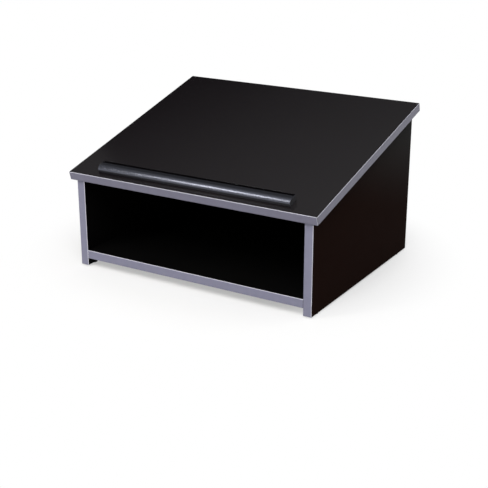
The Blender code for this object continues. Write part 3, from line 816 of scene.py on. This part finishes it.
def stop_section(low, high):
    """The stop's outline as (along the slope, above the board)."""
    crest_rear = Vector((high.y - STOP_LEAN, high.z))
    strip_front = crest_rear - Vector((STOP_STRIP, 0))
    centre = Vector((low.y + STOP_NOSE, high.z - STOP_NOSE))
    angles = [math.pi / 2 * step / STOP_NOSE_STEPS for step in range(STOP_NOSE_STEPS + 1)]
    nose = [centre + STOP_NOSE * Vector((-math.cos(angle), math.sin(angle))) for angle in angles]
    return [Vector((low.y, low.z)), *nose, strip_front, crest_rear, Vector((high.y, low.z))]


stop_low, stop_high = box_in(TILTED, "book_stop")
bm = extruded(stop_section(stop_low, stop_high), stop_low.x, stop_high.x)
bmesh.ops.recalc_face_normals(bm, faces=bm.faces)
for face in bm.faces:
    centre = face.calc_center_median()
    if centre.z > stop_high.z - WELD:
        on_strip = centre.y > stop_high.y - STOP_LEAN - STOP_STRIP
        face.material_index = STRIP_FACE if on_strip else CREST_FACE
    # The upright front and the ends take the dull finish and its painted sheen.
    elif face.normal.z < STOP_DULL_RISE:
        face.material_index = DULL_SHEEN_FACE
sharp = [edge for edge in bm.edges if edge.calc_face_angle() > CRISP_ANGLE]
round_edges(bm, sharp, STOP_ARRIS, ARRIS_STEPS)
stop_mesh = mesh_of(bm, "book_ledge")
stop_mesh.transform(TILTED)
stop = shade(link_object("book_ledge", stop_mesh, stop_plastic, stop_crest, matt_strip, stop_dull_sheen))
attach(stop, "root")
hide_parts("book_stop")

# Screws of the book stop
# Plated steel screws with a countersunk head, a cross in it and a coarse thread.
# They are driven up through the top into the stop.
SCREW_ROOT = 0.0031
SCREW_RIDGE = 0.00055
SCREW_POINT = 0.004
SCREW_CROSS = 0.0046
SCREW_CROSS_DEPTH = 0.0011
SCREW_TURNS = 12

screw_seats = [seat(TILTED, screw, UP, RIGHT) for screw in stop_screws]
_, screw_length, screw_width = screw_seats[0]
screw_face = -screw_length / 2
screw_neck = screw_face + (screw_width - SCREW_SHANK) / 2
point_start = screw_length / 2 - SCREW_POINT
screw_sizes = {
    "Face": screw_face,
    "Head Radius": screw_width / 2,
    "Neck": screw_neck,
    "Root Radius": SCREW_ROOT / 2,
    "Ridge": SCREW_RIDGE,
    "Thread Start": screw_neck,
    "Thread Length": point_start - screw_neck,
    "Point Start": point_start,
    "Tip": screw_length / 2,
    "Cross Span": SCREW_CROSS,
    "Cross Width": CROSS_WIDTH,
    "Cross Sinking": 2 * SCREW_CROSS_DEPTH,
}
screw_outline = [
    (0, "Face"),
    ("Head Radius", "Face"),
    ("Root Radius", "Neck"),
    ("Root Radius", "Point Start"),
    (0, "Tip"),
]
screw_tree, given = fitting_tree("stop_screw", screw_sizes)
shank = turned(screw_tree, given, screw_outline, round_section(screw_tree, TURNED_SIDES))
headed = carved(screw_tree, shank, cross_cutters(screw_tree, given, "Face"))
parts = [headed, thread(screw_tree, given, SCREW_TURNS)]
screw = node(screw_tree, "GeometryNodeJoinGeometry", {0: parts}).outputs[0]
seat_fittings(screw_tree, given, screw, plated_steel)
screws = fit_out("stop_screws", screw_tree, screw_seats, screw_sizes)
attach(screws, "root")
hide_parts(*stop_screws)

# Glides
# Low round feet of black plastic that lift the sides clear of the table.
# They are moulded on nails, which are driven into the sides' lower edges.
GLIDE_HEIGHT = 0.003
GLIDE_ROUND = 0.0012
GLIDE_BULGE = 0.0004
NAIL_POINT = 0.003
GLIDE_DARK = (0.0105, 0.0105, 0.0110, 1.0)
GLIDE_LIGHT = (0.0175, 0.0175, 0.0180, 1.0)
glide_plastic = make_finish("glide_plastic", (GLIDE_DARK, GLIDE_LIGHT), rough=(0.38, 0.60),
                            scales=(1600, 240), relief=0.00003, specular=0.4)

glide_seats = [seat(LEVEL, glide, UP, RIGHT) for glide in glides]
_, glide_length, glide_width = glide_seats[0]
sole = -glide_length / 2
glide_sizes = {
    "Sole": sole,
    "Sole Radius": glide_width / 2 - GLIDE_ROUND,
    "Shoulder": sole + GLIDE_BULGE,
    "Shoulder Radius": glide_width / 2 - GLIDE_BULGE,
    "Rim": sole + GLIDE_ROUND,
    "Rim Radius": glide_width / 2,
    "Upper Face": sole + GLIDE_HEIGHT,
    "Nail Radius": NAIL_DIAMETER / 2,
    "Point Start": glide_length / 2 - NAIL_POINT,
    "Tip": glide_length / 2,
}
glide_outline = [
    (0, "Sole"),
    ("Sole Radius", "Sole"),
    ("Shoulder Radius", "Shoulder"),
    ("Rim Radius", "Rim"),
    ("Rim Radius", "Upper Face"),
    ("Nail Radius", "Upper Face"),
    ("Nail Radius", "Point Start"),
    (0, "Tip"),
]
glide_tree, given = fitting_tree("nail_glide", glide_sizes)
foot = turned(glide_tree, given, glide_outline, round_section(glide_tree, TURNED_SIDES))
seat_fittings(glide_tree, given, foot, glide_plastic)
feet = fit_out("nail_glides", glide_tree, glide_seats, glide_sizes)
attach(feet, "root")
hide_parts(*glides)

# Floor, light and camera
# A pale floor that keeps the lectern's shadow, a white backdrop round it and a soft bank of light
# overhead. On the left stands a tall key strip with its fade and its spill. A softbox is in front, a rim
# lamp and a rear lamp are behind, and a dim lamp far to the left shows in the top's left corner.
FLOOR_HALF = 40.0
FLOOR_COLOUR = (0.64, 0.64, 0.64, 1.0)
FLOOR_GLOW = 0.44
FLOOR_SHADE = (0.52, 0.52, 0.52, 1.0)
FAR_GLOW = 1.0
SHADE_NEAR, SHADE_FAR = 0.30, 0.53
SHADE_MIDDLE = (-0.035, 0.012, 0)
SWEEP_LOW, SWEEP_HIGH = 0.05, 0.28
BANK_LOW, BANK_HIGH = 0.57, 0.70
CROWN_HIGH = 1.0
SWEEP_LIGHT = 0.6
DIM_LIGHT = 0.01
BANK_LIGHT = 0.28
CROWN_LIGHT = 0.49
BACKDROP_LOW, BACKDROP_HIGH = 0.24, 0.34
CAMERA_AZIMUTH = math.radians(31.154)
CAMERA_ELEVATION = math.radians(19.988)
CAMERA_DISTANCE = 2.40981
CAMERA_TARGET = Vector((-0.0053, -0.00321, 0.03101))
CAMERA_LENS = 78.325
CAMERA_SENSOR = 36.0
WHITE = (1.0, 1.0, 1.0, 1.0)
NEUTRAL = (1.0, 1.0, 1.0)
WARM = (1.05, 1.01, 0.94)
KEY_WAY = Vector((0, 0.569, 0.822))
FADE_WAY = Vector((0, 0.906, 0.423))
# Each lamp has its place, the way of its long side, its width, its length, its power and its colour.
LAMPS = {
    "key_core": (Vector((-0.92, -1.60, 1.19)), KEY_WAY, 0.27, 0.90, 10.9, WARM),
    "key_fade": (Vector((-0.90, -0.96, 1.78)), FADE_WAY, 0.60, 1.50, 2.2, NEUTRAL),
    "key_spill": (Vector((-0.74, -1.50, 1.39)), KEY_WAY, 0.70, 0.70, 3.4, NEUTRAL),
    "front": (Vector((0.68, -1.54, 2.15)), RIGHT, 1.40, 1.40, 45.0, NEUTRAL),
    "rim": (Vector((1.32, 1.03, 1.50)), UP, 0.50, 0.50, 4.6, NEUTRAL),
    "rear": (Vector((-0.35, 2.30, 0.75)), RIGHT, 0.80, 2.00, 15.0, NEUTRAL),
    "corner": (Vector((-1.94, 0.97, 1.73)), UP, 0.50, 0.60, 0.10, NEUTRAL),
}


def combined(tree, operation, first, second):
    """Two values made one, such as their sum or the larger of them."""
    return node(tree, "ShaderNodeMath", {0: first, 1: second}, operation=operation).outputs[0]


def shown_ray(tree):
    """1 for rays that show the floor or the backdrop, by sight, in gloss or through glass, else 0."""
    path = node(tree, "ShaderNodeLightPath").outputs
    direct = combined(tree, "MAXIMUM", path["Is Camera Ray"], path["Is Glossy Ray"])
    return combined(tree, "MAXIMUM", direct, path["Is Transmission Ray"])


corners = [(x * FLOOR_HALF, y * FLOOR_HALF, 0) for x, y in ((-1, -1), (1, -1), (1, 1), (-1, 1))]
floor_mesh = bpy.data.meshes.new("floor")
floor_mesh.from_pydata(corners, [], [(0, 1, 2, 3)])
pale_floor = bpy.data.materials.new("pale_floor")
pale_floor.use_nodes = True
tree = pale_floor.node_tree
tree.nodes.clear()
place = node(tree, "ShaderNodeTexCoord").outputs["Object"]
from_middle = {0: place, 1: SHADE_MIDDLE}
distance = node(tree, "ShaderNodeVectorMath", from_middle, operation="DISTANCE").outputs["Value"]
plain = node(tree, "ShaderNodeBsdfDiffuse", {"Color": FLOOR_COLOUR}).outputs[0]
shadowed = node(tree, "ShaderNodeBsdfDiffuse", {"Color": FLOOR_SHADE}).outputs[0]
dimmed = node(tree, "ShaderNodeEmission", {"Strength": FLOOR_GLOW}).outputs[0]
near = node(tree, "ShaderNodeAddShader", {0: shadowed, 1: dimmed}).outputs[0]
far = node(tree, "ShaderNodeEmission", {"Strength": FAR_GLOW}).outputs[0]
away = blend_range(tree, distance, SHADE_NEAR, SHADE_FAR, 0.0, 1.0)
white = node(tree, "ShaderNodeMixShader", {0: away, 1: near, 2: far}).outputs[0]
mixed = node(tree, "ShaderNodeMixShader", {0: shown_ray(tree), 1: plain, 2: white}).outputs[0]
node(tree, "ShaderNodeOutputMaterial", {"Surface": mixed})
floor = link_object("floor", floor_mesh, pale_floor)

world = bpy.data.worlds.new("surround")
world.use_nodes = True
bpy.context.scene.world = world
tree = world.node_tree
direction = node(tree, "ShaderNodeTexCoord").outputs["Generated"]
height = node(tree, "ShaderNodeSeparateXYZ", {0: direction}).outputs["Z"]
sweep = blend_range(tree, height, SWEEP_LOW, SWEEP_HIGH, SWEEP_LIGHT, DIM_LIGHT)
bank = blend_range(tree, height, BANK_LOW, BANK_HIGH, 0.0, BANK_LIGHT - DIM_LIGHT, "LINEAR")
crown = blend_range(tree, height, BANK_HIGH, CROWN_HIGH, 0.0, CROWN_LIGHT - BANK_LIGHT, "LINEAR")
overhead = combined(tree, "ADD", bank, crown)
light = combined(tree, "ADD", sweep, overhead)
backdrop = blend_range(tree, height, BACKDROP_LOW, BACKDROP_HIGH, 1.0, 0.0)
shown = combined(tree, "MULTIPLY", backdrop, shown_ray(tree))
strength = combined(tree, "MAXIMUM", light, shown)
tree.links.new(strength, tree.nodes["Background"].inputs["Strength"])
tree.nodes["Background"].inputs["Color"].default_value = WHITE

for name, (location, long_side, width, length, power, colour) in LAMPS.items():
    lamp = bpy.data.lights.new(name, "AREA")
    lamp.shape = "RECTANGLE"
    lamp.size = width
    lamp.size_y = length
    lamp.energy = power
    lamp.color = colour
    holder = link_object(name, lamp)
    away_axis = (location - Vector((0, 0, cad_high.z / 2))).normalized()
    short_side = long_side.cross(away_axis).normalized()
    axes = Matrix((short_side, away_axis.cross(short_side), away_axis)).transposed().to_4x4()
    holder.matrix_world = Matrix.Translation(location) @ axes

camera_data = bpy.data.cameras.new("photograph")
camera_data.lens = CAMERA_LENS
camera_data.sensor_width = CAMERA_SENSOR
camera = link_object("photograph", camera_data)
level_reach = math.cos(CAMERA_ELEVATION)
towards_camera = Vector((
    math.sin(CAMERA_AZIMUTH) * level_reach,
    -math.cos(CAMERA_AZIMUTH) * level_reach,
    math.sin(CAMERA_ELEVATION),
))
camera.location = CAMERA_TARGET + towards_camera * CAMERA_DISTANCE
camera.rotation_euler = (-towards_camera).to_track_quat("-Z", "Y").to_euler()
bpy.context.scene.camera = camera
bpy.context.scene.view_settings.view_transform = "Standard"
